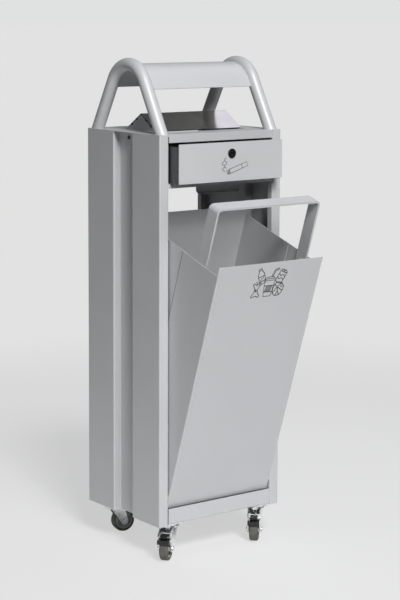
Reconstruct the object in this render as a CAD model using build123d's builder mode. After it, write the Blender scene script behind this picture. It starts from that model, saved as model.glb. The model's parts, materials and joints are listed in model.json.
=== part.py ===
from build123d import *
import os
from math import acos, atan2, cos, degrees, hypot, radians, sin, sqrt, tan

# Mobile litter bin and ashtray station: an open sheet-metal column on casters with a tilting bin,
# an ash drawer, a stub-out ridge and two tube hoops. Millimetres, +X right, front towards -Y, floor at Z = 0.

# Column
column_width = 320.0
column_depth = 268.0
body_height = 824.0
ground_clearance = 74.0
sheet = 1.5
bend_radius = 3.0
post_face = 23.0
post_lip = 15.0
groove_width = 68.0
groove_depth = 17.0
seam_gap = 1.0

# Base tray with its two kick rails
tray_sheet = 2.0
rail_height = 34.0
rail_lift = 2.5

# Top deck, its ash opening and the stub-out ridge
deck_skirt = 17.0
deck_corner = 2.0
deck_edge_round = 0.6
tab_width = 50.0
tab_drop = 26.0
deck_screw_drop = 13.5
deck_screw_diameter = 4.0
ridge_length = 224.0
ridge_rise = 36.5
ridge_half_span = 57.0
ridge_sheet = 1.2
ridge_bend = 2.0
ridge_overhang = 1.0
ridge_deck_gap = 0.4
ash_slot = 17.0
cheek_setback = 4.0
cheek_flat = 8.0
notch_length = 7.0
notch_depth = 4.0
notch_shares = (0.3, 0.62)

# Tube hoops and the canopy between them
tube_diameter = 27.0
tube_wall = 1.5
hoop_inset = 3.0
hoop_rise = 154.0
hoop_setback = 17.0
hoop_bend_radius = 65.0
canopy_depth = 50.0
canopy_offset = 1.5

# Ash drawer and the shelf that carries it
drawer_front_height = 82.0
drawer_side_gap = 1.0
drawer_top_gap = 1.2
drawer_pull = 34.0
drawer_sheet = 1.2
drawer_depth = 248.0
drawer_wall_drop = 6.0
drawer_box_inset = 2.0
drawer_float = 0.3
drawer_front_lift = 0.9
drawer_corner = 4.0
shelf_flange = 10.0
shelf_wing_setback = 4.0
shelf_side_flange = 20.0
shelf_flange_corner = 10.0

# Drawer lock
lock_drop = 24.0
lock_head_diameter = 20.0
lock_head_height = 2.5
lock_barrel_diameter = 15.8
lock_barrel_length = 8.5
lock_core_diameter = 11.0
lock_core_recess = 0.4
lock_socket_depth = 2.0
lock_socket_radius = 4.2
lock_pin_radius = 2.6
lock_nut_flats = 20.0
lock_nut_height = 3.0
cam_thickness = 2.0
cam_width = 13.0
cam_reach = 32.0
cam_gap = 0.4
cam_screw_diameter = 4.0
cam_screw_head = 8.0
cam_screw_head_height = 2.5

# Waste bin, standing open at its tilt
bin_tilt = 18.67
bin_height = 562.0
bin_wall_drop = 20.0
bin_side_gap = 1.5
bin_face_inset = 0.4
bin_rear_gap = 2.6
bin_rail_gap = 1.5
bin_sheet = 1.25
bin_front_wrap = 124.0
bin_seam_overlap = 14.0
bin_floor_flange = 15.0
handle_width = 30.0
handle_thickness = 4.5
handle_setback = 45.0
handle_leg_lap = 60.0
handle_bend = 11.0
handle_clearance = 1.8
handle_rivet_diameter = 5.0
handle_rivet_head = 9.0
handle_rivet_head_height = 1.5
handle_rivet_drops = (15.0, 45.0)

# Handle stop: a plate under the shelf that the closed bin's handle meets
handle_stop_width = 117.0
handle_stop_offset = 49.0
handle_stop_drop = 32.5
handle_stop_flange = 14.0
handle_stop_lip = 6.0
handle_stop_corner = 10.0
handle_stop_gap = 0.5

# Bin pivots, stops and rests
pivot_setback = 9.0
pivot_rise = 22.6
pivot_bolt_diameter = 6.0
pivot_play = 0.05
pivot_head_diameter = 11.0
pivot_head_height = 3.5
bush_diameter = 10.0
bush_corner_gap = 0.2
bush_flange_height = 1.0
pivot_plate_size = 26.0
pivot_plate_thickness = 3.0
pivot_nut_flats = 10.0
pivot_nut_height = 5.0
washer_diameter = 15.0
washer_gap = 0.2
stop_height = 430.0
stop_diameter = 12.0
stop_play = 0.3
stop_groove_gap = 1.0
stop_rivet_diameter = 6.0
stop_rivet_head = 10.0
stop_rivet_head_height = 1.5
rest_spacing = 180.0
rest_length = 30.0
rest_width = 8.0
rest_depth = 10.0
rest_play = 0.3

# Casters
caster_inset_x = 43.0
caster_plate_size = 44.0
caster_plate_thickness = 2.5
caster_plate_corner = 4.0
caster_hole_spacing_x = 30.0
caster_hole_spacing_y = 34.0
caster_bolt_diameter = 5.0
caster_bolt_flats = 8.0
caster_bolt_head_height = 3.0
caster_nut_height = 4.0
housing_diameter = 36.0
housing_height = 4.5
swivel_gap = 0.4
kingpin_diameter = 8.0
kingpin_head_diameter = 14.0
kingpin_head_height = 2.5
running_play = 0.05
side_play = 0.3
fork_diameter = 40.0
fork_sheet = 2.5
fork_leg_front = 22.0
fork_leg_rear = 13.0
fork_eye_radius = 8.0
cup_diameter = 30.0
cup_depth = 13.0
cup_round = 2.0
caster_trail = 26.5
wheel_diameter = 50.0
tyre_width = 19.0
tyre_thickness = 6.0
tyre_round = 4.0
hub_boss_diameter = 14.0
hub_boss_width = 23.4
hub_web = 6.0
hub_rim_width = 17.0
hub_rim_thickness = 3.0
axle_diameter = 6.0
axle_head_diameter = 10.0
axle_head_height = 3.0

# Brake levers on the front casters, laid out from the wheel's centre
brake_gap = 2.0
brake_thickness = 3.0
brake_arm_width = 15.0
brake_arm_start = 76.0
brake_arm_end = 140.0
brake_bar_width = 26.0
brake_bar_reach = 26.0
brake_bar_rise = 23.5
brake_bar_height = 9.0
brake_bar_depth = 7.0
brake_pin_diameter = 4.0
brake_pin_radius = 30.4
brake_pin_angle = 116.0
brake_boss_radius = 4.0
brake_knuckle_radius = 7.0

# Heights
half_width = column_width / 2
half_depth = column_depth / 2
body_z = ground_clearance
deck_z = body_z + body_height
panel_top = deck_z - sheet
tray_bottom = body_z + rail_lift
tray_top = tray_bottom + tray_sheet
rail_top = tray_bottom + rail_height

# Edges seen from above
post_edge = half_width - post_face
rail_edge = post_edge - seam_gap
inner_width = half_width - sheet
groove_face = half_width - groove_depth
groove_inner = groove_face - sheet
lip_end = half_depth - post_lip

# Drawer heights and the drawer's pulled-out place
drawer_top = deck_z - deck_skirt - drawer_top_gap
drawer_bottom = drawer_top - drawer_front_height
shelf_z = drawer_bottom - drawer_front_lift
shelf_bottom = shelf_z - shelf_flange
drawer_face = -half_depth - drawer_pull
drawer_back = drawer_face + sheet
drawer_half = post_edge - drawer_side_gap
box_half = drawer_half - drawer_box_inset
box_bottom = shelf_z + drawer_float
box_top = drawer_top - drawer_wall_drop
lock_z = drawer_top - lock_drop
cam_face = drawer_face + lock_barrel_length + cam_gap

# Bin: closed, its front is flush with the posts; open, it is turned about the pivot
bin_half = post_edge - bin_side_gap
bin_inner = bin_half - bin_sheet
bin_depth = column_depth - bin_face_inset - bin_rear_gap
bin_rest_z = rail_top + bin_rail_gap
pivot_y = -half_depth + bin_face_inset + pivot_setback
pivot_z = bin_rest_z + pivot_rise
tilt = radians(bin_tilt)
bin_y = pivot_y - pivot_setback * cos(tilt) + pivot_rise * sin(tilt)
bin_z = pivot_z - pivot_setback * sin(tilt) - pivot_rise * cos(tilt)
bin_wall_top = bin_height - bin_wall_drop
handle_reach = handle_setback + handle_width - pivot_setback
handle_swing = shelf_bottom - handle_clearance - pivot_z
handle_top = pivot_rise + sqrt(handle_swing**2 - handle_reach**2)
handle_stop_y = -half_depth + bin_face_inset + handle_setback + handle_width + handle_stop_gap
handle_stop_top = shelf_z - sheet
handle_stop_lip_z = handle_stop_top - handle_stop_drop
handle_stop_bottom = handle_stop_lip_z - sheet
stop_center = -lip_end + stop_diameter / 2 + stop_play
stop_setback = (stop_center - bin_y + stop_height * sin(tilt)) / cos(tilt)

# The origin is midway between the open bin's front edge and the column's rear
column_y = (bin_height * sin(tilt) - bin_y - half_depth) / 2

# Hoop centre line: two leaning legs that meet a round bend
tube_radius = tube_diameter / 2
hoop_x = half_width - hoop_inset - tube_radius
hoop_line_rise = hoop_rise - tube_radius
hoop_foot = half_depth - hoop_setback
lean_reach = hypot(hoop_foot, hoop_bend_radius - hoop_line_rise)
hoop_lean = atan2(hoop_bend_radius - hoop_line_rise, hoop_foot) + acos(hoop_bend_radius / lean_reach)
hoop_peak = deck_z + hoop_foot / tan(hoop_lean)

# Ridge slope and caster stack
ridge_slope = ridge_rise / ridge_half_span
ridge_angle = atan2(ridge_rise, ridge_half_span)
ridge_peak = deck_z + ridge_rise
ridge_lower_peak = ridge_peak - ridge_sheet / cos(ridge_angle)
ridge_eave = ridge_half_span - (ridge_deck_gap + ridge_sheet * cos(ridge_angle)) / ridge_slope
slot_edge = ridge_half_span + ash_slot
caster_x = half_width - caster_inset_x
caster_y = half_depth - bend_radius - caster_plate_size / 2
plate_bottom = tray_bottom - caster_plate_thickness
housing_bottom = plate_bottom - housing_height
fork_top = housing_bottom - swivel_gap
fork_under = fork_top - fork_sheet
wheel_radius = wheel_diameter / 2
tyre_inner = wheel_radius - tyre_thickness
leg_inner = hub_boss_width / 2 + side_play
leg_outer = leg_inner + fork_sheet
axle_spot = (-caster_trail, wheel_radius)
brake_inner = wheel_radius + brake_gap
brake_outer = brake_inner + brake_thickness
brake_turn = radians(brake_pin_angle)
brake_pin_spot = (
    axle_spot[0] + brake_pin_radius * cos(brake_turn),
    axle_spot[1] + brake_pin_radius * sin(brake_turn),
)
sides = (("left", -1), ("right", 1))


def level(z, x=0.0, y=0.0):
    """Horizontal plane at a height, centred on the column."""
    return Plane((x, column_y + y, z))


def section(x=0.0):
    """Upright plane across the column's depth: local x runs to the rear, local y runs up."""
    return Plane((x, column_y, 0), x_dir=(0, 1, 0), z_dir=(1, 0, 0))


def facing(y):
    """Upright plane that faces the front: local x runs right, local y runs up."""
    return Plane((0, column_y + y, 0), x_dir=(1, 0, 0), z_dir=(0, -1, 0))


def bin_point(setback, height, x=0.0):
    """Point in the open bin, from its front face and its lower front edge."""
    y = column_y + bin_y + setback * cos(tilt) - height * sin(tilt)
    return (x, y, bin_z + setback * sin(tilt) + height * cos(tilt))


def bin_level(height):
    """Plane across the open bin: local x runs right, local y runs to its back wall."""
    return Plane(bin_point(0, height), x_dir=(1, 0, 0), z_dir=(0, -sin(tilt), cos(tilt)))


def bin_section(x=0.0):
    """Plane along the open bin's side: local x runs to its back wall, local y runs up its height."""
    return Plane(bin_point(0, 0, x), x_dir=(0, cos(tilt), sin(tilt)), z_dir=(1, 0, 0))


def bin_facing(setback):
    """Plane parallel to the open bin's front: local x runs right, local y runs up its height."""
    return Plane(bin_point(setback, 0), x_dir=(1, 0, 0), z_dir=(0, -cos(tilt), -sin(tilt)))


def hoop_path(side):
    """Centre line of a hoop, carried a little below the deck so that its feet can be cut flat."""
    sink = tube_diameter
    foot = hoop_foot + sink * tan(hoop_lean)
    plane = section(side * hoop_x)
    feet = [plane.from_local_coords((y, deck_z - sink)) for y in (-foot, foot)]
    return FilletPolyline(feet[0], plane.from_local_coords((0, hoop_peak)), feet[1], radius=hoop_bend_radius)


os.makedirs("parts", exist_ok=True)

# Side panels: one folded sheet each, two corner posts with a channel between, lips cut short over the casters
for side_name, side in sides:
    with BuildPart() as side_panel:
        with BuildSketch(level(body_z)):
            with BuildLine():
                outline = FilletPolyline(
                    (side * post_edge, -lip_end),
                    (side * post_edge, -half_depth),
                    (side * half_width, -half_depth),
                    (side * half_width, -groove_width / 2),
                    (side * groove_face, -groove_width / 2),
                    (side * groove_face, groove_width / 2),
                    (side * half_width, groove_width / 2),
                    (side * half_width, half_depth),
                    (side * post_edge, half_depth),
                    (side * post_edge, lip_end),
                    radius=bend_radius,
                )
                offset(outline, amount=sheet, side=Side.LEFT if side > 0 else Side.RIGHT)
            make_face()
        extrude(amount=panel_top - body_z)
        with BuildSketch(section(side * groove_face)):
            with Locations((0, deck_z - deck_screw_drop)):
                Circle(deck_screw_diameter / 2)
        extrude(amount=-side * sheet, mode=Mode.SUBTRACT)
        with BuildSketch(section(side * post_edge)):
            with Locations((pivot_y, pivot_z)):
                Circle(pivot_bolt_diameter / 2)
            with Locations((0, (body_z + tray_bottom) / 2)):
                with GridLocations(lip_end + half_depth - bend_radius, 1, 2, 1):
                    Rectangle(half_depth - bend_radius - lip_end, tray_bottom - body_z)
        extrude(amount=side * sheet, mode=Mode.SUBTRACT)
    side_panel.part.label = f"{side_name}_side_panel"
    export_step(side_panel.part, f"parts/{side_name}_side_panel.step")

# Top deck: skirts front and rear, screw tabs behind the channels, and two cheeks folded up for the ridge
with BuildPart() as top_deck:
    with BuildSketch(level(panel_top)):
        RectangleRounded(column_width, column_depth, deck_corner)
        Rectangle(ridge_length, 2 * slot_edge, mode=Mode.SUBTRACT)
    extrude(amount=sheet)
    rim = top_deck.faces().sort_by(Axis.Z)[-1].outer_wire().edges()
    fillet(rim, radius=deck_edge_round)
    with BuildSketch(level(panel_top)):
        with GridLocations(1, column_depth - sheet, 1, 2):
            Rectangle(2 * rail_edge, sheet)
    extrude(amount=-(deck_skirt - sheet))
    with BuildSketch(level(panel_top)):
        with GridLocations(2 * groove_inner - sheet, 1, 2, 1):
            Rectangle(sheet, tab_width)
    extrude(amount=-tab_drop)
    for side in (-1, 1):
        cheek_half = ridge_half_span - cheek_setback
        with BuildSketch(section(side * ridge_length / 2)):
            with BuildLine():
                Polyline(
                    (-cheek_half, panel_top),
                    (-cheek_half, ridge_lower_peak - cheek_half * ridge_slope),
                    (-cheek_flat / 2, ridge_lower_peak - cheek_flat / 2 * ridge_slope),
                    (cheek_flat / 2, ridge_lower_peak - cheek_flat / 2 * ridge_slope),
                    (cheek_half, ridge_lower_peak - cheek_half * ridge_slope),
                    (cheek_half, panel_top),
                    close=True,
                )
            make_face()
            for share in notch_shares:
                for lean in (-1, 1):
                    notch_y = lean * share * ridge_half_span
                    notch_turn = -lean * degrees(ridge_angle)
                    with Locations((notch_y, ridge_lower_peak - abs(notch_y) * ridge_slope)):
                        Rectangle(notch_length, 2 * notch_depth, notch_turn, mode=Mode.SUBTRACT)
        extrude(amount=-side * sheet)
        with BuildSketch(section(side * groove_inner)):
            with Locations((0, deck_z - deck_screw_drop)):
                Circle(deck_screw_diameter / 2)
        extrude(amount=-side * sheet, mode=Mode.SUBTRACT)
top_deck.part.label = "top_deck"
export_step(top_deck.part, "parts/top_deck.step")

# Stub-out ridge: a bent stainless sheet that rests on the cheeks
with BuildPart() as ash_ridge:
    with BuildSketch(section()):
        with BuildLine():
            roof = FilletPolyline(
                (-ridge_eave, ridge_peak - ridge_eave * ridge_slope),
                (0, ridge_peak),
                (ridge_eave, ridge_peak - ridge_eave * ridge_slope),
                radius=ridge_bend,
            )
            offset(roof, amount=ridge_sheet, side=Side.RIGHT)
        make_face()
    extrude(amount=ridge_length / 2 + ridge_overhang, both=True)
ash_ridge.part.label = "ash_ridge"
export_step(ash_ridge.part, "parts/ash_ridge.step")

# Deck screws: pan heads in the channels, through the channel floor and the deck's tabs
deck_screw_head = 2 * deck_screw_diameter
deck_screw_head_height = deck_screw_diameter / 2
with BuildPart() as deck_screws:
    for side in (-1, 1):
        with BuildSketch(section(side * groove_face)):
            with Locations((0, deck_z - deck_screw_drop)):
                Circle(deck_screw_diameter / 2)
        extrude(amount=-side * 2 * sheet)
        with BuildSketch(section(side * groove_face)):
            with Locations((0, deck_z - deck_screw_drop)):
                Circle(deck_screw_head / 2)
        extrude(amount=side * deck_screw_head_height)
        with BuildSketch(section(side * (groove_inner - sheet))):
            with Locations((0, deck_z - deck_screw_drop)):
                RegularPolygon(deck_screw_head / 2, 6)
        extrude(amount=-side * deck_screw_head_height)
deck_screws.part.label = "deck_screws"
export_step(deck_screws.part, "parts/deck_screws.step")

# Tube hoops over the deck
for side_name, side in sides:
    with BuildPart() as hoop:
        with BuildLine() as path:
            hoop_path(side)
        with BuildSketch(Plane(path.line @ 0, z_dir=path.line % 0)):
            Circle(tube_radius)
            Circle(tube_radius - tube_wall, mode=Mode.SUBTRACT)
        sweep()
        split(bisect_by=level(deck_z), keep=Keep.TOP)
    hoop.part.label = f"{side_name}_hoop"
    export_step(hoop.part, f"parts/{side_name}_hoop.step")

# Canopy: a curved sheet between the hoops, cut to the tubes
canopy_peak = hoop_peak + canopy_offset / sin(hoop_lean)
canopy_edge_z = deck_z + hoop_line_rise - canopy_depth
canopy_half = (canopy_peak - canopy_edge_z) * tan(hoop_lean)
with BuildPart() as canopy:
    with BuildSketch(section()):
        with BuildLine():
            arch = FilletPolyline(
                (-canopy_half, canopy_edge_z),
                (0, canopy_peak),
                (canopy_half, canopy_edge_z),
                radius=hoop_bend_radius + canopy_offset,
            )
            offset(arch, amount=sheet, side=Side.RIGHT)
        make_face()
    extrude(amount=hoop_x, both=True)
    for side in (-1, 1):
        with BuildLine() as path:
            hoop_path(side)
        with BuildSketch(Plane(path.line @ 0, z_dir=path.line % 0)):
            Circle(tube_radius)
        sweep(mode=Mode.SUBTRACT)
canopy.part.label = "canopy"
export_step(canopy.part, "parts/canopy.step")

# Base tray: floor sheet with the two kick rails folded up, and wings out to the side panels
wing_depth = lip_end - sheet / 2
groove_clear = groove_width / 2 + sheet + bend_radius
with BuildPart() as base_tray:
    with BuildSketch(section()):
        with BuildLine():
            rails = FilletPolyline(
                (-half_depth, rail_top),
                (-half_depth, tray_bottom),
                (half_depth, tray_bottom),
                (half_depth, rail_top),
                radius=bend_radius,
            )
            offset(rails, amount=tray_sheet, side=Side.LEFT)
        make_face()
    extrude(amount=rail_edge, both=True)
    with BuildSketch(level(tray_bottom)):
        Rectangle(2 * inner_width, 2 * wing_depth)
        with GridLocations(2 * half_width, 1, 2, 1):
            Rectangle(2 * (half_width - groove_inner), 2 * groove_clear, mode=Mode.SUBTRACT)
    extrude(amount=tray_sheet)
    with BuildSketch(level(tray_bottom)):
        with GridLocations(2 * caster_x, 2 * caster_y, 2, 2):
            with GridLocations(caster_hole_spacing_x, caster_hole_spacing_y, 2, 2):
                Circle(caster_bolt_diameter / 2)
    extrude(amount=tray_sheet, mode=Mode.SUBTRACT)
base_tray.part.label = "base_tray"
export_step(base_tray.part, "parts/base_tray.step")

# Rest buffers: rubber blocks on the rear kick rail that the closed bin sits on
with BuildPart() as rest_buffers:
    rest_top = bin_rest_z - rest_play
    for side in (-1, 1):
        with BuildSketch(section(side * rest_spacing / 2)):
            with BuildLine():
                Polyline(
                    (half_depth, rest_top),
                    (half_depth - rest_width, rest_top),
                    (half_depth - rest_width, rest_top - rest_depth),
                    (half_depth - tray_sheet, rest_top - rest_depth),
                    (half_depth - tray_sheet, rail_top),
                    (half_depth, rail_top),
                    close=True,
                )
            make_face()
        extrude(amount=rest_length / 2, both=True)
rest_buffers.part.label = "rest_buffers"
export_step(rest_buffers.part, "parts/rest_buffers.step")

# Drawer shelf: folded front and rear edges, and side flanges welded behind the channels
with BuildPart() as drawer_shelf:
    with BuildSketch(section()):
        with BuildLine():
            fold = FilletPolyline(
                (-half_depth, shelf_bottom),
                (-half_depth, shelf_z),
                (half_depth, shelf_z),
                (half_depth, shelf_bottom),
                radius=bend_radius,
            )
            offset(fold, amount=sheet, side=Side.RIGHT)
        make_face()
    extrude(amount=rail_edge, both=True)
    wing_length = groove_width - 2 * shelf_wing_setback
    with BuildSketch(level(shelf_z)):
        Rectangle(2 * groove_inner, wing_length)
    extrude(amount=-sheet)
    for side in (-1, 1):
        with BuildSketch(section(side * groove_inner)) as flange:
            with Locations((0, shelf_z - shelf_side_flange / 2)):
                Rectangle(wing_length, shelf_side_flange)
            fillet(flange.vertices().group_by(Axis.Z)[0], radius=shelf_flange_corner)
        extrude(amount=-side * sheet)
drawer_shelf.part.label = "drawer_shelf"
export_step(drawer_shelf.part, "parts/drawer_shelf.step")

# Handle stop: a strip bent at the top for its weld and at the bottom for a smooth lip
with BuildPart() as handle_stop:
    with BuildSketch(section(handle_stop_offset)):
        with BuildLine():
            strip = FilletPolyline(
                (handle_stop_y + handle_stop_flange, handle_stop_top),
                (handle_stop_y, handle_stop_top),
                (handle_stop_y, handle_stop_lip_z),
                (handle_stop_y - handle_stop_lip, handle_stop_lip_z),
                radius=bend_radius,
            )
            offset(strip, amount=sheet, side=Side.LEFT)
        make_face()
    extrude(amount=handle_stop_width / 2, both=True)
    with BuildSketch(facing(handle_stop_y)) as front_outline:
        with Locations((handle_stop_offset, (handle_stop_top + handle_stop_bottom) / 2)):
            Rectangle(handle_stop_width, handle_stop_top - handle_stop_bottom)
        fillet(front_outline.vertices().group_by(Axis.Z)[0], radius=handle_stop_corner)
    extrude(amount=handle_stop_flange, both=True, mode=Mode.INTERSECT)
handle_stop.part.label = "handle_stop"
export_step(handle_stop.part, "parts/handle_stop.step")

# Ash drawer box: an open tray that slides on the shelf
with BuildPart() as drawer_box:
    with BuildSketch(level(box_bottom, y=drawer_back + drawer_depth / 2)):
        RectangleRounded(2 * box_half, drawer_depth, drawer_corner)
    extrude(amount=box_top - box_bottom)
    offset(amount=-drawer_sheet, openings=drawer_box.faces().sort_by(Axis.Z)[-1])
    with BuildSketch(facing(drawer_back)):
        with Locations((0, lock_z)):
            Circle(lock_barrel_diameter / 2)
    extrude(amount=-drawer_sheet, mode=Mode.SUBTRACT)
drawer_box.part.label = "drawer_box"
export_step(drawer_box.part, "parts/drawer_box.step")

# Drawer front plate
with BuildPart() as drawer_front:
    with BuildSketch(facing(drawer_face)):
        with Locations((0, (drawer_top + drawer_bottom) / 2)):
            Rectangle(2 * drawer_half, drawer_front_height)
        with Locations((0, lock_z)):
            Circle(lock_barrel_diameter / 2, mode=Mode.SUBTRACT)
    extrude(amount=-sheet)
drawer_front.part.label = "drawer_front"
export_step(drawer_front.part, "parts/drawer_front.step")

# Lock body: round head in front of the plate and a barrel through it
core_bore = lock_core_diameter / 2 + running_play
with BuildPart() as lock_body:
    with BuildSketch(facing(drawer_face)):
        with Locations((0, lock_z)):
            Circle(lock_head_diameter / 2)
    extrude(amount=lock_head_height)
    fillet(lock_body.edges().sort_by(Axis.Y)[0], radius=lock_head_height / 3)
    with BuildSketch(facing(drawer_face)):
        with Locations((0, lock_z)):
            Circle(lock_barrel_diameter / 2)
    extrude(amount=-lock_barrel_length)
    with BuildSketch(facing(drawer_face + lock_barrel_length)):
        with Locations((0, lock_z)):
            Circle(core_bore)
    extrude(amount=lock_barrel_length + lock_head_height, mode=Mode.SUBTRACT)
lock_body.part.label = "lock_body"
export_step(lock_body.part, "parts/lock_body.step")

# Lock nut behind the box wall
with BuildPart() as lock_nut:
    with BuildSketch(facing(drawer_back + drawer_sheet)):
        with Locations((0, lock_z)):
            RegularPolygon(lock_nut_flats / 2, 6, major_radius=False)
            Circle(lock_barrel_diameter / 2, mode=Mode.SUBTRACT)
    extrude(amount=-lock_nut_height)
lock_nut.part.label = "lock_nut"
export_step(lock_nut.part, "parts/lock_nut.step")

# Lock core with a three-sided key pin in a round socket
core_front = drawer_face - lock_head_height + lock_core_recess
with BuildPart() as lock_core:
    with BuildSketch(facing(core_front)):
        with Locations((0, lock_z)):
            Circle(lock_core_diameter / 2)
    extrude(amount=core_front - cam_face)
    with BuildSketch(facing(core_front)):
        with Locations((0, lock_z)):
            Circle(lock_socket_radius)
            RegularPolygon(lock_pin_radius, 3, mode=Mode.SUBTRACT)
    extrude(amount=-lock_socket_depth, mode=Mode.SUBTRACT)
lock_core.part.label = "lock_core"
export_step(lock_core.part, "parts/lock_core.step")

# Lock cam: lies flat when unlocked and turns up behind the deck's skirt
with BuildPart() as lock_cam:
    with BuildSketch(facing(cam_face)):
        with Locations(((cam_reach - cam_width / 2) / 2, lock_z)):
            SlotOverall(cam_reach + cam_width / 2, cam_width)
        with Locations((0, lock_z)):
            Circle(cam_screw_diameter / 2, mode=Mode.SUBTRACT)
    extrude(amount=-cam_thickness)
lock_cam.part.label = "lock_cam"
export_step(lock_cam.part, "parts/lock_cam.step")

# Screw that holds the cam on the core
with BuildPart() as cam_screw:
    with BuildSketch(facing(cam_face)):
        with Locations((0, lock_z)):
            Circle(cam_screw_diameter / 2)
    extrude(amount=-cam_thickness)
    with BuildSketch(facing(cam_face + cam_thickness)):
        with Locations((0, lock_z)):
            Circle(cam_screw_head / 2)
    extrude(amount=-cam_screw_head_height)
cam_screw.part.label = "cam_screw"
export_step(cam_screw.part, "parts/cam_screw.step")

# Bin front shell: the front panel with its two side returns, lower at the sides than at the front
with BuildPart() as bin_front_shell:
    with BuildSketch(bin_level(0)):
        with BuildLine():
            wrap = FilletPolyline(
                (-bin_half, bin_front_wrap),
                (-bin_half, 0),
                (bin_half, 0),
                (bin_half, bin_front_wrap),
                radius=bend_radius,
            )
            offset(wrap, amount=bin_sheet, side=Side.LEFT)
        make_face()
    extrude(amount=bin_height)
    with BuildSketch(bin_section()):
        with Locations((bend_radius, bin_wall_top)):
            Rectangle(bin_front_wrap, bin_wall_drop, align=(Align.MIN, Align.MIN))
        with Locations((pivot_setback, pivot_rise)):
            Circle(bush_diameter / 2)
        for drop in handle_rivet_drops:
            with Locations((handle_setback + handle_width / 2, bin_wall_top - drop)):
                Circle(handle_rivet_diameter / 2)
    extrude(amount=bin_half, both=True, mode=Mode.SUBTRACT)
bin_front_shell.part.label = "bin_front_shell"
export_step(bin_front_shell.part, "parts/bin_front_shell.step")

# Bin rear shell: the back wall and sides, lapped inside the front shell
bin_lap = bin_front_wrap - bin_seam_overlap
with BuildPart() as bin_rear_shell:
    with BuildSketch(bin_level(0)):
        with BuildLine():
            back = FilletPolyline(
                (-bin_inner, bin_lap),
                (-bin_inner, bin_depth),
                (bin_inner, bin_depth),
                (bin_inner, bin_lap),
                radius=bend_radius,
            )
            offset(back, amount=bin_sheet, side=Side.RIGHT)
        make_face()
    extrude(amount=bin_height)
    with BuildSketch(bin_section()):
        with Locations((bin_depth - bend_radius, bin_wall_top)):
            Rectangle(bin_depth, bin_wall_drop, align=(Align.MAX, Align.MIN))
        with Locations((stop_setback, stop_height)):
            Circle(stop_rivet_diameter / 2)
    extrude(amount=bin_half, both=True, mode=Mode.SUBTRACT)
bin_rear_shell.part.label = "bin_rear_shell"
export_step(bin_rear_shell.part, "parts/bin_rear_shell.step")

# Bin floor: a folded sheet between the two shells
with BuildPart() as bin_floor:
    floor_half = bin_inner - bin_sheet
    with BuildSketch(bin_section()):
        with BuildLine():
            pan = FilletPolyline(
                (bin_sheet, bin_floor_flange),
                (bin_sheet, 0),
                (bin_depth - bin_sheet, 0),
                (bin_depth - bin_sheet, bin_floor_flange),
                radius=bend_radius,
            )
            offset(pan, amount=bin_sheet, side=Side.LEFT)
        make_face()
    extrude(amount=floor_half, both=True)
    with BuildSketch(bin_level(0)):
        with Locations((0, bin_depth / 2)):
            RectangleRounded(2 * floor_half, bin_depth - 2 * bin_sheet, bend_radius)
    extrude(amount=bin_floor_flange, mode=Mode.INTERSECT)
bin_floor.part.label = "bin_floor"
export_step(bin_floor.part, "parts/bin_floor.step")

# Bin handle: a flat bar bent into an arch, fixed inside the side walls
with BuildPart() as bin_handle:
    leg_foot = bin_wall_top - handle_leg_lap
    with BuildSketch(bin_facing(handle_setback)):
        with BuildLine():
            bar = FilletPolyline(
                (-bin_inner, leg_foot),
                (-bin_inner, handle_top),
                (bin_inner, handle_top),
                (bin_inner, leg_foot),
                radius=handle_bend,
            )
            offset(bar, amount=handle_thickness, side=Side.RIGHT)
        make_face()
    extrude(amount=-handle_width)
    with BuildSketch(bin_section()):
        for drop in handle_rivet_drops:
            with Locations((handle_setback + handle_width / 2, bin_wall_top - drop)):
                Circle(handle_rivet_diameter / 2)
    extrude(amount=bin_inner, both=True, mode=Mode.SUBTRACT)
bin_handle.part.label = "bin_handle"
export_step(bin_handle.part, "parts/bin_handle.step")

# Handle rivets: flush outside, headed on the bar
rivet_face = bin_inner - handle_thickness
with BuildPart() as handle_rivets:
    for side in (-1, 1):
        for drop in handle_rivet_drops:
            spot = (handle_setback + handle_width / 2, bin_wall_top - drop)
            with BuildSketch(bin_section(side * rivet_face)):
                with Locations(spot):
                    Circle(handle_rivet_diameter / 2)
            extrude(amount=side * (bin_half - rivet_face))
            with BuildSketch(bin_section(side * rivet_face)):
                with Locations(spot):
                    Circle(handle_rivet_head / 2)
            extrude(amount=-side * handle_rivet_head_height)
handle_rivets.part.label = "handle_rivets"
export_step(handle_rivets.part, "parts/handle_rivets.step")

# Stop studs: catch behind the front posts' lips and end the bin's tilt
with BuildPart() as stop_studs:
    for side in (-1, 1):
        with BuildSketch(bin_section(side * bin_inner)):
            with Locations((stop_setback, stop_height)):
                Circle(stop_diameter / 2)
        extrude(amount=side * (groove_inner - stop_groove_gap - bin_inner))
        with BuildSketch(bin_section(side * bin_inner)):
            with Locations((stop_setback, stop_height)):
                Circle(stop_rivet_diameter / 2)
        extrude(amount=-side * bin_sheet)
        with BuildSketch(bin_section(side * (bin_inner - bin_sheet))):
            with Locations((stop_setback, stop_height)):
                Circle(stop_rivet_head / 2)
        extrude(amount=-side * stop_rivet_head_height)
stop_studs.part.label = "stop_studs"
export_step(stop_studs.part, "parts/stop_studs.step")

# Pivot bushes: nylon, flanged inside the bin's walls, clear of the front panel's bend
bush_flange_radius = pivot_setback - bend_radius - bush_corner_gap
with BuildPart() as pivot_bushes:
    for side in (-1, 1):
        with BuildSketch(bin_section(side * bin_inner)):
            with Locations((pivot_setback, pivot_rise)):
                Circle(bush_diameter / 2)
        extrude(amount=side * bin_sheet)
        with BuildSketch(bin_section(side * bin_inner)):
            with Locations((pivot_setback, pivot_rise)):
                Circle(bush_flange_radius)
        extrude(amount=-side * bush_flange_height)
    with BuildSketch(bin_section()):
        with Locations((pivot_setback, pivot_rise)):
            Circle(pivot_bolt_diameter / 2 + pivot_play)
    extrude(amount=bin_half, both=True, mode=Mode.SUBTRACT)
pivot_bushes.part.label = "pivot_bushes"
export_step(pivot_bushes.part, "parts/pivot_bushes.step")

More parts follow.
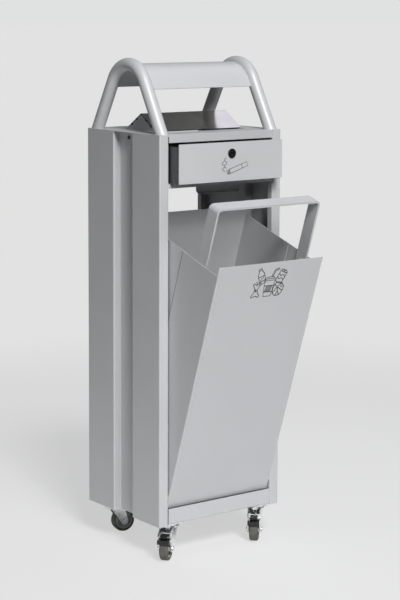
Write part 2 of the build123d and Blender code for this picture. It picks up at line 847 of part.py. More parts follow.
# Pivot plates: stiffen the lips where the bin's bolts pass
lip_back = post_edge + sheet
with BuildPart() as pivot_plates:
    plate_front = -half_depth + bend_radius
    plate_center = plate_front + pivot_plate_size / 2
    for side in (-1, 1):
        with BuildSketch(section(side * lip_back)):
            with Locations((plate_center, pivot_z)):
                Rectangle(pivot_plate_size, pivot_plate_size)
            with Locations((pivot_y, pivot_z)):
                Circle(pivot_bolt_diameter / 2, mode=Mode.SUBTRACT)
        extrude(amount=side * pivot_plate_thickness)
pivot_plates.part.label = "pivot_plates"
export_step(pivot_plates.part, "parts/pivot_plates.step")

# Pivot bolts: heads inside the bin, shanks through bush, washer, lip and plate
pivot_head_face = bin_inner - bush_flange_height - washer_gap
nut_face = lip_back + pivot_plate_thickness
with BuildPart() as pivot_bolts:
    for side in (-1, 1):
        with BuildSketch(section(side * pivot_head_face)):
            with Locations((pivot_y, pivot_z)):
                Circle(pivot_bolt_diameter / 2)
        extrude(amount=side * (nut_face + pivot_nut_height - pivot_head_face))
        with BuildSketch(section(side * pivot_head_face)):
            with Locations((pivot_y, pivot_z)):
                Circle(pivot_head_diameter / 2)
        extrude(amount=-side * pivot_head_height)
pivot_bolts.part.label = "pivot_bolts"
export_step(pivot_bolts.part, "parts/pivot_bolts.step")

# Pivot nuts behind the plates
with BuildPart() as pivot_nuts:
    for side in (-1, 1):
        with BuildSketch(section(side * nut_face)):
            with Locations((pivot_y, pivot_z)):
                RegularPolygon(pivot_nut_flats / 2, 6, major_radius=False)
                Circle(pivot_bolt_diameter / 2, mode=Mode.SUBTRACT)
        extrude(amount=side * pivot_nut_height)
pivot_nuts.part.label = "pivot_nuts"
export_step(pivot_nuts.part, "parts/pivot_nuts.step")

# Friction washers between the posts' lips and the bin
with BuildPart() as friction_washers:
    for side in (-1, 1):
        with BuildSketch(section(side * post_edge)):
            with Locations((pivot_y, pivot_z)):
                Circle(washer_diameter / 2)
                Circle(pivot_bolt_diameter / 2, mode=Mode.SUBTRACT)
        extrude(amount=-side * (bin_side_gap - washer_gap))
friction_washers.part.label = "friction_washers"
export_step(friction_washers.part, "parts/friction_washers.step")

# Casters: name, side, end, heading of the trailing wheel from the front towards the left, and brake
casters = (
    ("front_left", -1, -1, 50.2, True),
    ("front_right", 1, -1, 43.4, True),
    ("rear_left", -1, 1, -76.0, False),
    ("rear_right", 1, 1, -62.5, False),
)


def swivel_level(across, along, heading, z):
    """Horizontal plane on a caster's swivel axis: local x along the axle, local y away from the wheel."""
    turn = radians(heading)
    spot = (across * caster_x, column_y + along * caster_y, z)
    return Plane(spot, x_dir=(cos(turn), -sin(turn), 0), z_dir=(0, 0, 1))


def swivel_section(across, along, heading, x=0.0):
    """Upright plane along a caster's heading: local x away from the wheel, local y up."""
    turn = radians(heading)
    axle_way = (cos(turn), -sin(turn), 0)
    spot = (across * caster_x + x * axle_way[0], column_y + along * caster_y + x * axle_way[1], 0)
    return Plane(spot, x_dir=(sin(turn), cos(turn), 0), z_dir=axle_way)


# Kingpins: rivets that hold the forks under the plates
with BuildPart() as caster_kingpins:
    head_top = fork_under - side_play
    with BuildSketch(level(tray_bottom)):
        with GridLocations(2 * caster_x, 2 * caster_y, 2, 2):
            Circle(kingpin_diameter / 2)
    extrude(amount=head_top - tray_bottom)
    with BuildSketch(level(head_top)):
        with GridLocations(2 * caster_x, 2 * caster_y, 2, 2):
            Circle(kingpin_head_diameter / 2)
    extrude(amount=-kingpin_head_height)
caster_kingpins.part.label = "caster_kingpins"
export_step(caster_kingpins.part, "parts/caster_kingpins.step")

# Caster bolts: heads under the plates, nuts on the tray
with BuildPart() as caster_bolts:
    with BuildSketch(level(plate_bottom)):
        with GridLocations(2 * caster_x, 2 * caster_y, 2, 2):
            with GridLocations(caster_hole_spacing_x, caster_hole_spacing_y, 2, 2):
                Circle(caster_bolt_diameter / 2)
    extrude(amount=tray_top - plate_bottom)
    for hex_z, hex_height in ((plate_bottom, -caster_bolt_head_height), (tray_top, caster_nut_height)):
        with BuildSketch(level(hex_z)):
            with GridLocations(2 * caster_x, 2 * caster_y, 2, 2):
                with GridLocations(caster_hole_spacing_x, caster_hole_spacing_y, 2, 2):
                    RegularPolygon(caster_bolt_flats / 2, 6, major_radius=False)
        extrude(amount=hex_height)
caster_bolts.part.label = "caster_bolts"
export_step(caster_bolts.part, "parts/caster_bolts.step")

for name, across, along, heading, braked in casters:
    place = (across, along, heading)

    # Mounting plate with the swivel bearing's housing
    with BuildPart() as caster_plate:
        with BuildSketch(level(tray_bottom, across * caster_x, along * caster_y)):
            RectangleRounded(caster_plate_size, caster_plate_size, caster_plate_corner)
            with GridLocations(caster_hole_spacing_x, caster_hole_spacing_y, 2, 2):
                Circle(caster_bolt_diameter / 2, mode=Mode.SUBTRACT)
        extrude(amount=-caster_plate_thickness)
        with BuildSketch(level(plate_bottom, across * caster_x, along * caster_y)):
            Circle(housing_diameter / 2)
        extrude(amount=-housing_height)
        with BuildSketch(level(tray_bottom, across * caster_x, along * caster_y)):
            Circle(kingpin_diameter / 2)
        extrude(amount=housing_bottom - tray_bottom, mode=Mode.SUBTRACT)
    caster_plate.part.label = f"{name}_caster_plate"
    export_step(caster_plate.part, f"parts/{name}_caster_plate.step")

    # Fork: a round head with a cup below it, and two legs that narrow to the axle
    with BuildPart() as fork:
        with BuildSketch(swivel_level(*place, fork_under)):
            Circle(cup_diameter / 2)
        extrude(amount=-cup_depth)
        fillet(fork.edges().sort_by(Axis.Z)[0], radius=cup_round)
        with BuildSketch(swivel_level(*place, fork_under)):
            Circle(cup_diameter / 2 - fork_sheet)
        extrude(amount=-cup_depth, mode=Mode.SUBTRACT)
        with BuildSketch(swivel_level(*place, fork_top)):
            Circle(fork_diameter / 2)
        extrude(amount=-fork_sheet)
        for leg in (-1, 1):
            with BuildSketch(swivel_section(*place, leg * leg_inner)):
                with Locations(axle_spot):
                    Circle(fork_eye_radius)
                with Locations(((fork_leg_rear - fork_leg_front) / 2, fork_top - fork_sheet / 2)):
                    Rectangle(fork_leg_rear + fork_leg_front, fork_sheet)
                if braked:
                    with Locations(brake_pin_spot):
                        Circle(brake_boss_radius)
                make_hull()
            extrude(amount=leg * fork_sheet)
        with BuildSketch(swivel_section(*place)):
            with Locations(axle_spot):
                Circle(axle_diameter / 2)
            if braked:
                with Locations(brake_pin_spot):
                    Circle(brake_pin_diameter / 2)
        extrude(amount=leg_outer, both=True, mode=Mode.SUBTRACT)
        with BuildSketch(swivel_level(*place, fork_top)):
            Circle(kingpin_diameter / 2 + running_play)
        extrude(amount=-fork_sheet, mode=Mode.SUBTRACT)
    fork.part.label = f"{name}_fork"
    export_step(fork.part, f"parts/{name}_fork.step")

    # Axle with a head at each end
    with BuildPart() as axle:
        with BuildSketch(swivel_section(*place)):
            with Locations(axle_spot):
                Circle(axle_diameter / 2)
        extrude(amount=leg_outer, both=True)
        for leg in (-1, 1):
            with BuildSketch(swivel_section(*place, leg * leg_outer)):
                with Locations(axle_spot):
                    Circle(axle_head_diameter / 2)
            extrude(amount=leg * axle_head_height)
    axle.part.label = f"{name}_axle"
    export_step(axle.part, f"parts/{name}_axle.step")

    # Wheel hub: boss, web and rim
    with BuildPart() as hub:
        with BuildSketch(swivel_section(*place)):
            with Locations(axle_spot):
                Circle(tyre_inner)
        extrude(amount=hub_rim_width / 2, both=True)
        with BuildSketch(swivel_section(*place)):
            with Locations(axle_spot):
                Circle(tyre_inner - hub_rim_thickness)
        extrude(amount=hub_rim_width / 2, both=True, mode=Mode.SUBTRACT)
        with BuildSketch(swivel_section(*place)):
            with Locations(axle_spot):
                Circle(tyre_inner - hub_rim_thickness / 2)
        extrude(amount=hub_web / 2, both=True)
        with BuildSketch(swivel_section(*place)):
            with Locations(axle_spot):
                Circle(hub_boss_diameter / 2)
        extrude(amount=hub_boss_width / 2, both=True)
        with BuildSketch(swivel_section(*place)):
            with Locations(axle_spot):
                Circle(axle_diameter / 2 + running_play)
        extrude(amount=hub_boss_width / 2, both=True, mode=Mode.SUBTRACT)
    hub.part.label = f"{name}_hub"
    export_step(hub.part, f"parts/{name}_hub.step")

    # Tyre with rounded shoulders
    with BuildPart() as tyre:
        with BuildSketch(swivel_section(*place)):
            with Locations(axle_spot):
                Circle(wheel_radius)
        extrude(amount=tyre_width / 2, both=True)
        fillet(tyre.edges().filter_by(GeomType.CIRCLE), radius=tyre_round)
        with BuildSketch(swivel_section(*place)):
            with Locations(axle_spot):
                Circle(tyre_inner)
        extrude(amount=tyre_width / 2, both=True, mode=Mode.SUBTRACT)
    tyre.part.label = f"{name}_tyre"
    export_step(tyre.part, f"parts/{name}_tyre.step")

    if not braked:
        continue

    # Brake pin across the fork's legs
    with BuildPart() as brake_pin:
        with BuildSketch(swivel_section(*place)):
            with Locations(brake_pin_spot):
                Circle(brake_pin_diameter / 2)
        extrude(amount=leg_outer, both=True)
    brake_pin.part.label = f"{name}_brake_pin"
    export_step(brake_pin.part, f"parts/{name}_brake_pin.step")

    # Brake lever: a curved arm over the tyre that turns on the pin, with a cross bar for the foot
    with BuildPart() as brake_lever:
        with BuildSketch(swivel_section(*place)):
            with BuildLine():
                lower = CenterArc(axle_spot, brake_inner, brake_arm_start, brake_arm_end - brake_arm_start)
                upper = CenterArc(axle_spot, brake_outer, brake_arm_start, brake_arm_end - brake_arm_start)
                Line(lower @ 0, upper @ 0)
                Line(lower @ 1, upper @ 1)
            make_face()
            with Locations(brake_pin_spot):
                Circle(brake_knuckle_radius)
            with Locations(axle_spot):
                Circle(brake_inner, mode=Mode.SUBTRACT)
        extrude(amount=brake_arm_width / 2, both=True)
        with BuildSketch(swivel_section(*place)):
            with Locations((axle_spot[0] - brake_bar_reach, axle_spot[1] + brake_bar_rise)):
                Rectangle(brake_bar_depth, brake_bar_height, align=(Align.MIN, Align.MAX))
            with Locations(axle_spot):
                Circle(brake_inner, mode=Mode.SUBTRACT)
        extrude(amount=brake_bar_width / 2, both=True)
        with BuildSketch(swivel_section(*place)):
            with Locations(brake_pin_spot):
                Circle(brake_pin_diameter / 2 + running_play)
        extrude(amount=brake_bar_width / 2, both=True, mode=Mode.SUBTRACT)
    brake_lever.part.label = f"{name}_brake_lever"
    export_step(brake_lever.part, f"parts/{name}_brake_lever.step")
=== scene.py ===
# %% [markdown]
# # A mobile litter bin and ashtray station
# The station is an open column of folded sheet on four casters. A bin tilts out of its front, an ash drawer
# slides out above the bin, and two tube hoops carry a curved canopy over a stainless stub-out ridge.
# The solids come from the imported model and stay where they are. This lesson gives them their finishes,
# adds what is printed on the sheet, paints the shadow along its laps, and sets up the light and the camera.

# %% Load the solids
import json
import math

import bpy
from mathutils import Matrix, Vector


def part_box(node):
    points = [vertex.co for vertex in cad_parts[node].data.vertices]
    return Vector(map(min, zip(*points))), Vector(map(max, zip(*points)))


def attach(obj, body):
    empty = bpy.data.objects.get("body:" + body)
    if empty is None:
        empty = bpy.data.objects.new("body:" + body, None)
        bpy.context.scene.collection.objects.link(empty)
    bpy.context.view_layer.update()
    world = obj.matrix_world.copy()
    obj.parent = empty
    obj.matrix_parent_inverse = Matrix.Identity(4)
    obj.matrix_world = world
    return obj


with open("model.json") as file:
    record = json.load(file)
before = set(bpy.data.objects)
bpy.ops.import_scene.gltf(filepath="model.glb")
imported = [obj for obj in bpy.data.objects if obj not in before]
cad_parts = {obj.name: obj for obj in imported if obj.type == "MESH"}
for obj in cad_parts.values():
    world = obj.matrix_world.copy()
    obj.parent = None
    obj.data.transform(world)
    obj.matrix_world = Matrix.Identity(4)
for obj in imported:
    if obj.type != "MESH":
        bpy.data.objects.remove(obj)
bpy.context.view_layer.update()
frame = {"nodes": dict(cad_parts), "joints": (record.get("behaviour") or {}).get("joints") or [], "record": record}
bpy.ops.object.select_all(action="DESELECT")
nodes = frame["nodes"]
joints = {joint["name"]: joint for joint in frame["joints"]}

# %% [markdown]
# ## Colours and shader nodes
# A colour is easiest to read as the hex value that a paint program shows. Shaders count in linear light,
# so one function converts it. A second links sockets, and a third adds a node, sets its sockets and
# properties, and links its inputs.

# %% Colour and node helpers
MM = 0.001


def linear(hex_colour):
    """sRGB hex to linear RGBA."""
    values = [int(hex_colour[i:i + 2], 16) / 255 for i in (1, 3, 5)]
    return [v / 12.92 if v <= 0.04045 else ((v + 0.055) / 1.055) ** 2.4 for v in values] + [1.0]


def link(tree, node, sources):
    """Links source sockets to a node's inputs, by name or number."""
    for name, source in sources.items():
        tree.links.new(source, node.inputs[name])


def add_node(tree, kind, inputs=None, links=None, **settings):
    """Adds a node, with its properties in settings, socket values in inputs and source sockets in links."""
    node = tree.nodes.new(kind)
    for name, value in settings.items():
        setattr(node, name, value)
    for name, value in (inputs or {}).items():
        node.inputs[name].default_value = value
    link(tree, node, links or {})
    return node


print("linear value of mid grey:", round(linear("#808080")[0], 3))

# %% [markdown]
# ## The steps of a finish
# Most finishes need the same few steps: a noise at a real grain size, a ramp between two close tones, a gloss
# that varies with the noise, and a shallow relief. Each step is one function, so each finish below stays
# a short list of what the real surface does. The noise reads Object coordinates, which are metres on the
# real thing. Most of its values lie in a narrow band, so the ramps spread that band.

# %% A material and its noise
NOISE_BAND = (0.3, 0.7)


def new_finish(name, **shader):
    """A material with its node tree, its Principled shader and its object coordinates."""
    material = bpy.data.materials.new(name)
    material.use_nodes = True
    tree = material.node_tree
    tree.nodes.clear()
    principled = add_node(tree, "ShaderNodeBsdfPrincipled", inputs=shader)
    add_node(tree, "ShaderNodeOutputMaterial", links={"Surface": principled.outputs["BSDF"]})
    place = add_node(tree, "ShaderNodeTexCoord").outputs["Object"]
    return material, tree, principled, place


def add_noise(tree, place, grain_mm, detail):
    """Noise with grains of a size in millimetres."""
    scale = {"Scale": 1 / (grain_mm * MM), "Detail": detail}
    return add_node(tree, "ShaderNodeTexNoise", scale, {"Vector": place}).outputs["Fac"]


print("noise is read between", *NOISE_BAND)

# %% Tones, gloss and relief


def add_tones(tree, source, dark, light, band=NOISE_BAND):
    """A ramp over a band, from a dark tone to a light one."""
    ramp = add_node(tree, "ShaderNodeValToRGB", links={"Fac": source})
    for element, position, colour in zip(ramp.color_ramp.elements, band, (dark, light)):
        element.position = position
        element.color = linear(colour)
    return ramp.outputs["Color"]


def add_range(tree, source, low, high, band=(0.0, 1.0), **settings):
    """Carries the values of a band over to low to high."""
    ends = {"From Min": band[0], "From Max": band[1], "To Min": low, "To Max": high}
    return add_node(tree, "ShaderNodeMapRange", ends, {"Value": source}, **settings).outputs["Result"]


def add_relief(tree, height, strength, depth_mm):
    """A normal from a height."""
    inputs = {"Strength": strength, "Distance": depth_mm * MM}
    return add_node(tree, "ShaderNodeBump", inputs, {"Height": height}).outputs["Normal"]


print("made helpers for tones, gloss and relief")

# %% [markdown]
# ## Powder coat
# The sheet metal has a silver-grey powder coat. The powder is sprayed on dry and melted in an oven, so the skin
# flows into a faint orange peel of about 2 mm, and its aluminium flakes give a soft sheen, not a mirror.
# A little metallic weight gives that sheen, a fine noise stands for the flakes, and a wider one for uneven
# film. Real flakes are finer than this noise, which is as fine as the picture can show.

# %% Powder coat material
FLAKE_MM, PEEL_MM, FILM_MM = 0.9, 2.2, 140.0
FILM_SHARE = 0.35

powder_coat, tree, shader, place = new_finish(
    "silver_powder_coat", **{"Metallic": 0.1, "IOR": 1.5, "Coat Weight": 0.06, "Coat Roughness": 0.35}
)
flakes = add_noise(tree, place, FLAKE_MM, detail=2.0)
film = add_noise(tree, place, FILM_MM, detail=3.0)
peel = add_noise(tree, place, PEEL_MM, detail=1.0)
mottle = add_node(tree, "ShaderNodeMix", {"Factor": FILM_SHARE}, {"A": flakes, "B": film}, data_type="FLOAT")
link(tree, shader, {
    "Base Color": add_tones(tree, mottle.outputs["Result"], "#b4b5b7", "#bcbdbf"),
    "Roughness": add_range(tree, film, 0.40, 0.48, band=NOISE_BAND),
    "Normal": add_relief(tree, peel, strength=0.08, depth_mm=0.05),
})
print("made", powder_coat.name)

# %% [markdown]
# ## Stainless sheet
# The stub-out ridge is bent from bright rolled stainless steel. Rolling leaves very fine lines along the sheet,
# so reflections are sharp across it and slightly drawn out along it. Noise that is stretched along X gives
# those lines to the roughness and the bump.

# %% Stainless material
LINE_MM, STAIN_MM = 0.6, 45.0
LINE_STRETCH = (0.03, 1.0, 1.0)

stainless, tree, shader, place = new_finish("rolled_stainless", **{"Metallic": 1.0})
stretch = add_node(tree, "ShaderNodeMapping", {"Scale": LINE_STRETCH}, {"Vector": place})
lines = add_noise(tree, stretch.outputs["Vector"], LINE_MM, detail=2.0)
stain = add_noise(tree, place, STAIN_MM, detail=3.0)
link(tree, shader, {
    "Base Color": add_tones(tree, stain, "#b5b3ad", "#c2c1bd"),
    "Roughness": add_range(tree, lines, 0.07, 0.16),
    "Normal": add_relief(tree, lines, strength=0.05, depth_mm=0.01),
})
print("made", stainless.name)

# %% [markdown]
# ## Plated steel, and steel darkened for shade
# Forks, plates, axles, pins and bolts are zinc plated. The plating is bright with a cool cast, and the bath
# leaves soft cloudy patches a few millimetres wide. A patch is paler and duller at once, so one cloud noise
# drives both the tint and the roughness. The drawer's box and the deck screws take the same recipe with dark
# tones, which paint in the shade on the drawer's sides and under the deck's edge.

# %% Steel materials
CLOUD_MM = 7.0
CLOUD_BAND = (0.32, 0.68)


def zinc_finish(name, dark, light, rough_low, rough_high):
    """A metal finish with soft clouds in its tone and gloss."""
    material, tree, shader, place = new_finish(name, **{"Metallic": 1.0})
    cloud = add_noise(tree, place, CLOUD_MM, detail=3.0)
    link(tree, shader, {
        "Base Color": add_tones(tree, cloud, dark, light, band=CLOUD_BAND),
        "Roughness": add_range(tree, cloud, rough_low, rough_high),
    })
    return material


zinc_plate = zinc_finish("zinc_plated_pressing", "#c9cdcf", "#eceeee", 0.12, 0.28)
fastener_steel = zinc_finish("zinc_plated_fastener", "#bfc2c4", "#e2e4e5", 0.18, 0.34)
# Dark tones that paint in the shade on the drawer's sides.
drawer_steel = zinc_finish("shade_dark_drawer_steel", "#5f5f61", "#6c6c6e", 0.42, 0.58)
# Dark tones that paint in the shade under the deck's edge.
black_screw = zinc_finish("shade_dark_screw_steel", "#47474b", "#55555a", 0.3, 0.45)
print("made", zinc_plate.name, fastener_steel.name, drawer_steel.name, "and", black_screw.name)

# %% [markdown]
# ## Rubber and mouldings
# The tyres are dark thermoplastic rubber: nearly matt, with an olive cast from floor dust. The wheel centres
# are a dull grey moulding. The lock, the brake levers and the buffers are black, and the bushes and washers are
# natural nylon. All of them share one recipe, because they differ only in two close tones, a fine grain in the
# bump and their gloss.

# %% Moulded materials
WEAR_MM = 14.0
GRAIN_STRENGTH = 0.3


def moulded_finish(name, dark, light, rough_low, rough_high, grain_mm, relief_mm):
    """A plain moulded finish with worn tones and a fine grain."""
    material, tree, shader, place = new_finish(name, **{"IOR": 1.5})
    grain = add_noise(tree, place, grain_mm, detail=2.0)
    wear = add_noise(tree, place, WEAR_MM, detail=3.0)
    link(tree, shader, {
        "Base Color": add_tones(tree, wear, dark, light),
        "Roughness": add_range(tree, wear, rough_low, rough_high),
        "Normal": add_relief(tree, grain, GRAIN_STRENGTH, relief_mm),
    })
    return material


finishes = {
    "powder_coat": powder_coat,
    "stainless": stainless,
    "zinc_plate": zinc_plate,
    "fastener_steel": fastener_steel,
    "drawer_steel": drawer_steel,
    "black_screw": black_screw,
    # Dark and light tone, least and most roughness, then grain and relief in millimetres.
    "tyre_rubber": moulded_finish("dusty_tyre_rubber", "#42413a", "#5d5b51", 0.62, 0.8, 0.8, 0.05),
    "wheel_grey": moulded_finish("grey_wheel_moulding", "#9a9b96", "#adaea9", 0.45, 0.6, 0.8, 0.03),
    "lock_black": moulded_finish("black_lock_moulding", "#08080a", "#121214", 0.25, 0.4, 0.6, 0.01),
    "brake_black": moulded_finish("black_brake_moulding", "#0c0c0d", "#191919", 0.2, 0.32, 0.7, 0.03),
    "buffer_rubber": moulded_finish("black_buffer_rubber", "#131313", "#1d1d1c", 0.6, 0.8, 0.8, 0.04),
    "nylon": moulded_finish("natural_nylon", "#d4d2c8", "#e0ded6", 0.4, 0.55, 0.7, 0.02),
}
print("made", len(finishes), "finishes")

# %% Dress the solids
for entry in frame["record"]["subparts"]:
    mesh = nodes[entry["node"]].data
    mesh.materials.clear()
    mesh.materials.append(finishes[entry["material_slot"]])

# %% [markdown]
# ## Printed line drawings
# Two small drawings are screen printed on the coat in dark grey-green ink: a cigarette on the drawer's front,
# and an outline of litter on the bin. A texture would need an image, so each stroke is a curve with a round
# section. The curves become one mesh, which is pressed flat until it is only as thick as a film of ink.
# The drawing is laid out in millimetres on its sheet, to the right and up.

# %% Strokes of a drawing


def line(*points):
    """An open stroke with sharp corners: its points, whether it is closed and whether it is smooth."""
    return points, False, False


def loop(*points):
    """A closed stroke with sharp corners."""
    return points, True, False


def curl(*points):
    """An open smooth stroke."""
    return points, False, True


def blob(*points):
    """A closed smooth stroke."""
    return points, True, True


def turned(strokes, size, lean_deg, right, up):
    """Strokes made larger and turned anticlockwise about their own origin, then moved."""
    cosine, sine = size * math.cos(math.radians(lean_deg)), size * math.sin(math.radians(lean_deg))
    return [
        ([(right + x * cosine - y * sine, up + x * sine + y * cosine) for x, y in points], closed, smooth)
        for points, closed, smooth in strokes
    ]


print("a stroke holds its points, closed and smooth:", line((0, 0), (10, 0)))

# %% Ink on a sheet
INK_LIFT_MM = 0.1

print_ink = moulded_finish("grey_green_print_ink", "#2c3a35", "#38463f", 0.5, 0.65, 0.8, 0.01)


def ink_drawing(name, strokes, width_mm, place, finish):
    """Turns strokes, each (points, closed, smooth), into one flat mesh at a place."""
    curve = bpy.data.curves.new(name, "CURVE")
    curve.dimensions = "3D"
    curve.bevel_depth = width_mm / 2 * MM
    curve.bevel_resolution = 1
    curve.resolution_u = 6
    curve.use_fill_caps = True
    for points, closed, smooth in strokes:
        spline = curve.splines.new("BEZIER")
        spline.bezier_points.add(len(points) - 1)
        spline.use_cyclic_u = closed
        for bezier, (right, up) in zip(spline.bezier_points, points):
            bezier.co = (right * MM, up * MM, 0)
            bezier.handle_left_type = bezier.handle_right_type = "AUTO" if smooth else "VECTOR"
    drawing = bpy.data.objects.new(name, curve)
    bpy.context.scene.collection.objects.link(drawing)
    bpy.ops.object.select_all(action="DESELECT")
    drawing.select_set(True)
    bpy.context.view_layer.objects.active = drawing
    bpy.ops.object.convert(target="MESH")
    drawing = bpy.context.object
    drawing.scale = (1, 1, 2 * INK_LIFT_MM / width_mm)
    bpy.ops.object.transform_apply(location=False, rotation=False, scale=True)
    drawing.matrix_world = place
    bpy.ops.object.transform_apply(location=True, rotation=True, scale=True)
    drawing.data.materials.clear()
    drawing.data.materials.append(finish)
    print(name, "has", len(drawing.data.polygons), "faces")
    return drawing


# %% Cigarette on the drawer front
SIGN_RIGHT_MM, SIGN_UP_MM, SIGN_STROKE_MM = 6.0, 828.0, 1.3

length, half, filter_length = 56.0, 4.6, 15.0
filter_edge = length - filter_length
cigarette = turned([
    line((5, -half), (length, -half), (length, half), (6, half)),
    line((filter_edge, -half), (filter_edge, half)),
    curl((5, -half), (0, -2.5), (1.5, 0.5), (-0.5, 2.5), (6, half)),
    curl((5, -half), (8, -1.5), (6, 1), (9, 3), (6, half)),
    line((2, -2.5), (5.5, 2.5)),
    line((3.5, -3.2), (7, 1.8)),
], size=1.0, lean_deg=17, right=-18, up=-12)
smoke = [
    curl((-24, -9), (-30, -4), (-24, 1), (-31, 7), (-26, 12)),
    curl((-20, -3), (-24, 3), (-19, 8), (-25, 15), (-20, 19)),
]
drawer_low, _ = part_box("drawer_front")
upright = Matrix.Rotation(math.radians(90), 4, "X")
sign_place = Matrix.Translation((SIGN_RIGHT_MM * MM, drawer_low.y, SIGN_UP_MM * MM)) @ upright
cigarette_sign = ink_drawing("cigarette_sign", cigarette + smoke, SIGN_STROKE_MM, sign_place, print_ink)
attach(cigarette_sign, "drawer")

# %% Litter outlines: cup, core and paper ball
STRIPES, STRIPE_STEP_MM = 5, 3.2

cup = [
    loop((-13, 9), (-9, -27), (10, -27), (14, 9)),
    loop((-15.5, 9), (16.5, 9), (15.5, 13), (-14.5, 13)),
    line((-10, 13), (-8.5, 17), (9.5, 17), (11, 13)),
    line((-11.6, -3), (12.6, -3)),
    line((-10.2, -17), (11.2, -17)),
    line((3, 17), (9, 33), (19, 36)),
    line((6, 17), (11, 30.5), (20, 33)),
]
cup += [line((-8 + STRIPE_STEP_MM * i, -16), (-4 + STRIPE_STEP_MM * i, -4)) for i in range(STRIPES)]
core = [
    blob((-40, 4), (-31, 1), (-22, 5), (-25, -4), (-27.5, -11), (-25, -18), (-21, -26), (-31, -24),
         (-41, -26), (-37, -18), (-34.5, -11), (-37, -4)),
    curl((-31, 1), (-31.5, 5), (-34, 9)),
    blob((-32, -9), (-30.5, -12), (-31.5, -14)),
]
paper_ball = [
    loop((13, -12), (16, -1), (24, 4), (34, 1), (41, -7), (40, -18), (33, -27), (22, -28), (14, -22)),
    line((16, -1), (24, -8), (34, 1)),
    line((24, -8), (40, -18)),
    line((24, -8), (14, -22)),
    line((24, -8), (27, -18), (22, -28)),
    line((27, -18), (33, -27)),
    line((34, 1), (33, -9), (41, -7)),
]
print(len(cup + core + paper_ball), "strokes")

# %% Litter outlines: bottle and can
bottle = turned([
    loop((-6, -14), (6, -14), (6, 4), (3, 10), (3, 15), (-3, 15), (-3, 10), (-6, 4)),
    line((-6, -9), (6, -9)),
    line((-6, 0), (6, 0)),
    line((-4, -7), (4, -2)),
    line((-3, 12), (3, 12)),
], size=1.3, lean_deg=24, right=-24, up=20)
can = turned([
    line((-7.5, 10), (-7.5, -10), (-4, -12), (4, -12), (7.5, -10), (7.5, 10)),
    loop((-7.5, 10), (-4, 12), (4, 12), (7.5, 10), (4, 8), (-4, 8)),
    line((-2, 10), (2, 10)),
    line((-7.5, 3), (-2, 0), (2, 4), (7.5, 1)),
    line((-7.5, -3), (-2, -6), (2, -2), (7.5, -5)),
], size=1.25, lean_deg=-24, right=29, up=16)
print(len(bottle + can), "more strokes")

# %% Litter drawing on the tilted bin
PIVOT_SETBACK_MM, PIVOT_RISE_MM = 9.0, 22.6
DRAWING_RIGHT_MM, DRAWING_UP_MM, DRAWING_STROKE_MM = 3.0, 512.0, 2.1

pivot = Vector(joints["bin_tilt"]["pos_m"])
tilt = math.radians(-joints["bin_tilt"]["range_deg"][0])
bin_up = Vector((0, -math.sin(tilt), math.cos(tilt)))
bin_back = Vector((0, math.cos(tilt), math.sin(tilt)))
bin_corner = pivot - bin_back * PIVOT_SETBACK_MM * MM - bin_up * PIVOT_RISE_MM * MM
drawing_spot = bin_corner + Vector((DRAWING_RIGHT_MM * MM, 0, 0)) + bin_up * DRAWING_UP_MM * MM
drawing_place = Matrix.Translation(drawing_spot) @ Matrix.Rotation(math.radians(90) + tilt, 4, "X")
litter = cup + core + paper_ball + bottle + can
litter_drawing = ink_drawing("litter_drawing", litter, DRAWING_STROKE_MM, drawing_place, print_ink)
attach(litter_drawing, "bin")

# %% [markdown]
# ## Painted shadow along the bin's laps
# The bin's rear shell is lapped inside its front shell, and the front shell's edge throws a thin dark shadow
# along each lap. The soft key light blurs that shadow away, so it is painted as a thin dark grey line, drawn as
# the ink is: one long stroke on the outer face of the rear shell, against the front shell's edge.

# %% Painted lap shadow
LAP_SETBACK_MM, LAP_FOOT_MM, LAP_TOP_MM, LAP_SHADOW_WIDTH_MM = 124.0, 4.0, 540.0, 2.8

# A dark grey stroke that paints the thin shadow of the front shell's edge along each lap.
lap_shadow_ink = moulded_finish("grey_lap_sealant", "#4c4e50", "#5a5c5e", 0.5, 0.65, 0.8, 0.01)
for name, side, corner in zip(("left", "right"), (-1, 1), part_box("bin_rear_shell")):
    across = side * (LAP_SETBACK_MM + LAP_SHADOW_WIDTH_MM / 2)
    strokes = [line((across, LAP_FOOT_MM), (across, LAP_TOP_MM))]
    axes = Matrix((side * bin_back, bin_up, Vector((side, 0, 0)))).transposed().to_4x4()
    foot = Matrix.Translation((corner.x, bin_corner.y, bin_corner.z))
    seam = ink_drawing(f"{name}_lap_sealant", strokes, LAP_SHADOW_WIDTH_MM, foot @ axes, lap_shadow_ink)
    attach(seam, "bin")

# %% [markdown]
# ## Floor
# The station stands on pale paper in a dark studio, so the light that bounces off the floor is strongest near
# the casters, and the left side grows brighter towards its foot. The camera sees most of the floor as a plain
# pale glow. Near the station a share of the real paper is mixed in, which keeps the shadow.

# %% Floor paper
FLOOR_SIZE_M = 160
PAPER_EDGE_M, STUDIO_EDGE_M = 0.8, 2.6
GLOW_NEAR, GLOW_FAR = 0.75, 1.0

bpy.ops.mesh.primitive_plane_add(size=FLOOR_SIZE_M)
floor = bpy.context.object
floor.name = "floor"
floor_paper = bpy.data.materials.new("floor_paper")
floor_paper.use_nodes = True
tree = floor_paper.node_tree
tree.nodes.clear()
spot = add_node(tree, "ShaderNodeTexCoord").outputs["Object"]
reach = add_node(tree, "ShaderNodeVectorMath", links={0: spot}, operation="LENGTH").outputs["Value"]
edges = (PAPER_EDGE_M, STUDIO_EDGE_M)
fade = add_range(tree, reach, 0.0, 1.0, band=edges, interpolation_type="SMOOTHSTEP")
tone = add_tones(tree, fade, "#f4f4f4", "#303030", band=(0.0, 1.0))
paper = add_node(tree, "ShaderNodeBsdfDiffuse", links={"Color": tone})
glow = add_node(tree, "ShaderNodeEmission", {"Color": linear("#e1e2e1"), "Strength": 1.0})
seen = add_node(tree, "ShaderNodeLightPath").outputs["Is Camera Ray"]
plain = add_range(tree, fade, GLOW_NEAR, GLOW_FAR)
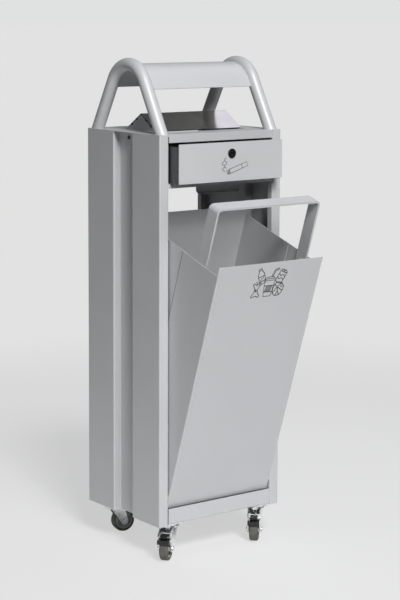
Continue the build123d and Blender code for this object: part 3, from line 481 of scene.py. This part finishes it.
share = add_node(tree, "ShaderNodeMath", links={0: seen, 1: plain}, operation="MULTIPLY").outputs[0]
mixed = add_node(
    tree, "ShaderNodeMixShader", links={0: share, 1: paper.outputs["BSDF"], 2: glow.outputs["Emission"]}
)
add_node(tree, "ShaderNodeOutputMaterial", links={"Surface": mixed.outputs["Shader"]})
floor.data.materials.append(floor_paper)
print("paper fades between", PAPER_EDGE_M, "and", STUDIO_EDGE_M, "m")

# %% [markdown]
# ## Light
# The camera and the metal see a pale room, and the room itself gives almost no light. A high key lamp from the
# front left and a box above the drawer light the fronts, a low lamp fills the left side, and a box high on the
# right is there for the ridge to mirror.

# %% World
BACKGROUND_LEVEL, MIRRORED_LEVEL, AMBIENT_LEVEL = 0.73, 0.3, 0.02

world = bpy.data.worlds.new("studio")
bpy.context.scene.world = world
world.use_nodes = True
tree = world.node_tree
tree.nodes.clear()
ray = add_node(tree, "ShaderNodeLightPath")
mirrored = add_node(
    tree, "ShaderNodeMath", {1: MIRRORED_LEVEL, 2: AMBIENT_LEVEL}, {0: ray.outputs["Is Glossy Ray"]},
    operation="MULTIPLY_ADD",
)
level = add_node(
    tree, "ShaderNodeMath", {1: BACKGROUND_LEVEL},
    {0: ray.outputs["Is Camera Ray"], 2: mirrored.outputs[0]}, operation="MULTIPLY_ADD",
)
surround = add_node(
    tree, "ShaderNodeBackground", {"Color": linear("#feffff")}, {"Strength": level.outputs[0]}
)
add_node(tree, "ShaderNodeOutputWorld", links={"Surface": surround.outputs["Background"]})
print("room seen at", BACKGROUND_LEVEL, "and mirrored at", MIRRORED_LEVEL)

# %% Lamps


def add_lamp(name, kind, place, spot, energy, **settings):
    """A lamp at a place that shines at a spot."""
    bpy.ops.object.light_add(type=kind, location=place)
    lamp = bpy.context.object
    lamp.name = name
    lamp.rotation_euler = (Vector(spot) - lamp.location).to_track_quat("-Z", "Y").to_euler()
    lamp.data.energy = energy
    for setting, value in settings.items():
        setattr(lamp.data, setting, value)
    print(name, "at", [round(v, 2) for v in lamp.location])


add_lamp("key", "SUN", place=(-1.25, -3.44, 3.41), spot=(0, 0, 0), energy=2.15, angle=math.radians(14))
add_lamp("front_box", "AREA", place=(-0.45, -1.9, 1.9), spot=(0, 0, 0.8), energy=34, size=0.8)
add_lamp("left_fill", "AREA", place=(-1.5, -0.1, 0.15), spot=(-0.15, 0.05, 0.2), energy=2.6, size=0.8)
add_lamp(
    "ridge_box", "AREA", place=(1.5, 0.35, 3.0), spot=(0.05, 0.08, 0.92), energy=8.5, size=1.5,
    color=linear("#eeeaff")[:3],
)

# %% [markdown]
# ## Camera
# The camera stands to the front left and looks a little down. A long lens keeps the edges nearly upright.

# %% Camera
CAMERA_PLACE = (-2.2552, -2.9694, 1.1639)
CAMERA_TURN_DEG = (83.545, -0.19, -36.943)
LENS_MM, SENSOR_MM, SHIFT_UP, CLIP_M = 105.92, 36.0, -0.16, 400

bpy.ops.object.camera_add(location=CAMERA_PLACE)
camera = bpy.context.object
camera.data.sensor_fit = "VERTICAL"
camera.data.sensor_height = SENSOR_MM
camera.data.lens = LENS_MM
camera.data.shift_y = SHIFT_UP
camera.data.clip_end = CLIP_M
camera.rotation_euler = [math.radians(angle) for angle in CAMERA_TURN_DEG]
bpy.context.scene.camera = camera
bpy.context.scene.view_settings.view_transform = "Standard"
print("camera at", [round(v, 3) for v in camera.location])
